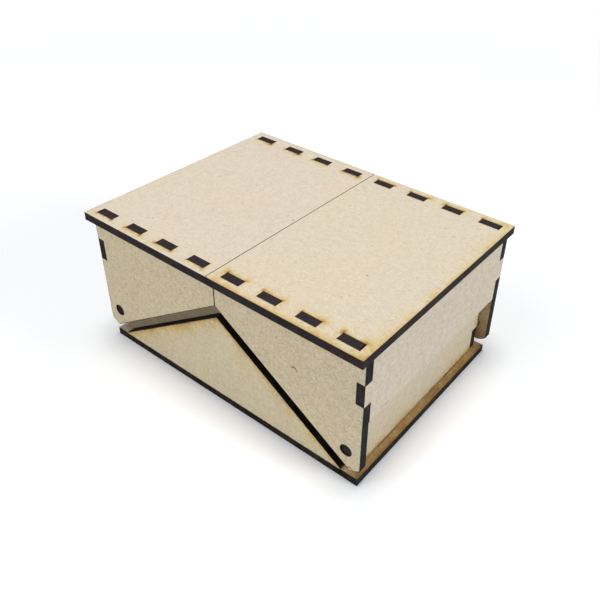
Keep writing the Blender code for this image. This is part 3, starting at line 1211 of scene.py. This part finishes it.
@dataclass(frozen=True)
class Camera:
    """The camera, on the photograph's side of the box. Its frame is a crop of a larger one."""

    azimuth: float = 36.42
    elevation: float = 34.05
    roll: float = 2.10
    distance: float = 0.2598
    aim: tuple[float, float, float] = (0.0084, 0.0130, 0.0361)
    focal_length: float = 42.10
    shift_right: float = -0.0671
    shift_up: float = -0.0680

    def place(self) -> None:
        """Make the camera and aim it."""
        turn, rise, tilt = (math.radians(angle) for angle in (self.azimuth, self.elevation, self.roll))
        back = Vector((math.sin(turn) * math.cos(rise), -math.cos(turn) * math.cos(rise), math.sin(rise)))
        right = Vector((0, 0, 1)).cross(back).normalized()
        right = Matrix.Rotation(tilt, 3, back) @ right
        axes = Matrix((right, back.cross(right), back)).transposed().to_4x4()
        lens = bpy.data.cameras.new("photo_camera")
        lens.lens = self.focal_length
        lens.shift_x = self.shift_right
        lens.shift_y = self.shift_up
        lens.clip_start = 0.01
        camera = bpy.data.objects.new("photo_camera", lens)
        bpy.context.scene.collection.objects.link(camera)
        camera.matrix_world = Matrix.Translation(Vector(self.aim) + back * self.distance) @ axes
        bpy.context.scene.camera = camera


@dataclass(frozen=True)
class Lamp:
    """A large soft lamp, aimed at the box."""

    name: str
    place: tuple[float, float, float]
    size: float
    power: float

    def build(self) -> None:
        """Make the lamp."""
        lamp = bpy.data.lights.new(self.name, "AREA")
        lamp.shape = "DISK"
        lamp.size = self.size
        lamp.energy = self.power
        holder = bpy.data.objects.new(self.name, lamp)
        holder.location = self.place
        holder.rotation_mode = "QUATERNION"
        holder.rotation_quaternion = Vector(self.place).to_track_quat("Z", "Y")
        bpy.context.scene.collection.objects.link(holder)


@dataclass(frozen=True)
class Studio:
    """A white floor under an even sky, a lamp overhead and one on either side of the camera."""

    floor_half: float = 6.0
    floor_drop: float = 0.00002
    floor_bounce: Colour = (0.84, 0.84, 0.84)
    floor_colour: Colour = (0.98, 0.99, 1.0)
    floor_glow: float = 0.085
    white_from: float = 0.20
    white_beyond: float = 0.50
    sky_level: float = 0.245
    sky_colour: Colour = (0.91, 0.955, 1.0)
    lamps: tuple[Lamp, ...] = (
        Lamp("overhead_lamp", (0.0, 0.0, 2.0), 0.72, 18.6),
        Lamp("right_lamp", (1.758, 0.438, 0.845), 0.68, 14.3),
        Lamp("left_lamp", (-0.628, -1.347, 1.338), 1.60, 12.0))

    def build(self) -> None:
        """Make the floor, the lamps and the sky."""
        self.build_floor()
        for lamp in self.lamps:
            lamp.build()
        self.build_sky()
        bpy.context.scene.view_settings.view_transform = "Standard"

    def build_floor(self) -> None:
        """Make the floor, which shows white to the camera and keeps the box's shadow."""
        grid = bmesh.new()
        bmesh.ops.create_grid(grid, x_segments=1, y_segments=1, size=self.floor_half)
        bmesh.ops.translate(grid, verts=grid.verts, vec=(0, 0, -self.floor_drop))
        mesh = bpy.data.meshes.new("floor")
        grid.to_mesh(mesh)
        grid.free()
        mixer = Mixer("floor_white")
        matt = mixer.node("BsdfDiffuse")
        matt.inputs["Color"].default_value = (*self.floor_bounce, 1.0)
        bright = mixer.node("BsdfDiffuse")
        bright.inputs["Color"].default_value = (*self.floor_colour, 1.0)
        glow = mixer.node("Emission")
        glow.inputs["Strength"].default_value = self.floor_glow
        paper = mixer.node("AddShader")
        mixer.feed(paper.inputs[0], bright.outputs[0])
        mixer.feed(paper.inputs[1], glow.outputs[0])
        away = mixer.vector("LENGTH", mixer.node("TexCoord").outputs["Object"], NOWHERE)
        fading = mixer.node("MixShader")
        mixer.feed(fading.inputs[0], mixer.band(away, self.white_from, self.white_beyond))
        mixer.feed(fading.inputs[1], paper.outputs[0])
        mixer.feed(fading.inputs[2], mixer.node("Emission").outputs[0])
        seen = mixer.node("MixShader")
        mixer.feed(seen.inputs[0], mixer.node("LightPath").outputs["Is Camera Ray"])
        mixer.feed(seen.inputs[1], matt.outputs[0])
        mixer.feed(seen.inputs[2], fading.outputs[0])
        mixer.feed(mixer.node("OutputMaterial").inputs["Surface"], seen.outputs[0])
        mesh.materials.append(mixer.material)
        floor = bpy.data.objects.new("floor", mesh)
        bpy.context.scene.collection.objects.link(floor)

    def build_sky(self) -> None:
        """Make the even sky, which is plain white where the camera sees it."""
        world = bpy.data.worlds.new("white_room")
        world.use_nodes = True
        tree = world.node_tree
        output = tree.nodes["World Output"]
        lit = tree.nodes["Background"]
        lit.inputs["Color"].default_value = (*self.sky_colour, 1.0)
        lit.inputs["Strength"].default_value = self.sky_level
        white = tree.nodes.new("ShaderNodeBackground")
        white.inputs["Color"].default_value = (1.0, 1.0, 1.0, 1.0)
        mix = tree.nodes.new("ShaderNodeMixShader")
        tree.links.new(tree.nodes.new("ShaderNodeLightPath").outputs["Is Camera Ray"], mix.inputs[0])
        tree.links.new(lit.outputs[0], mix.inputs[1])
        tree.links.new(white.outputs[0], mix.inputs[2])
        tree.links.new(mix.outputs[0], output.inputs["Surface"])
        bpy.context.scene.world = world


def main() -> None:
    """Set up the camera and the studio, then dress the tray and both wings."""
    logging.basicConfig(level=logging.INFO, format="%(name)s: %(message)s")
    Camera().place()
    Studio().build()
    left = Wing(
        Side.LEFT, lid_smoke=LEFT_LID_SMOKE, lid_finish=LEFT_LID_FINISH, lid_marks=LEFT_LID_MARKS)
    right = Wing(
        Side.RIGHT, lid_marks=RIGHT_LID_MARKS, panel_marks=RIGHT_PANEL_MARKS, side_marks=RIGHT_SIDE_MARKS)
    boards = Tray().boards() + left.boards() + right.boards()
    for seed, board in enumerate(boards, start=1):
        piece = board.dress(seed)
        LOG.info("%s is dressed on body %s", piece.name, board.body)


if __name__ == "__main__":
    main()
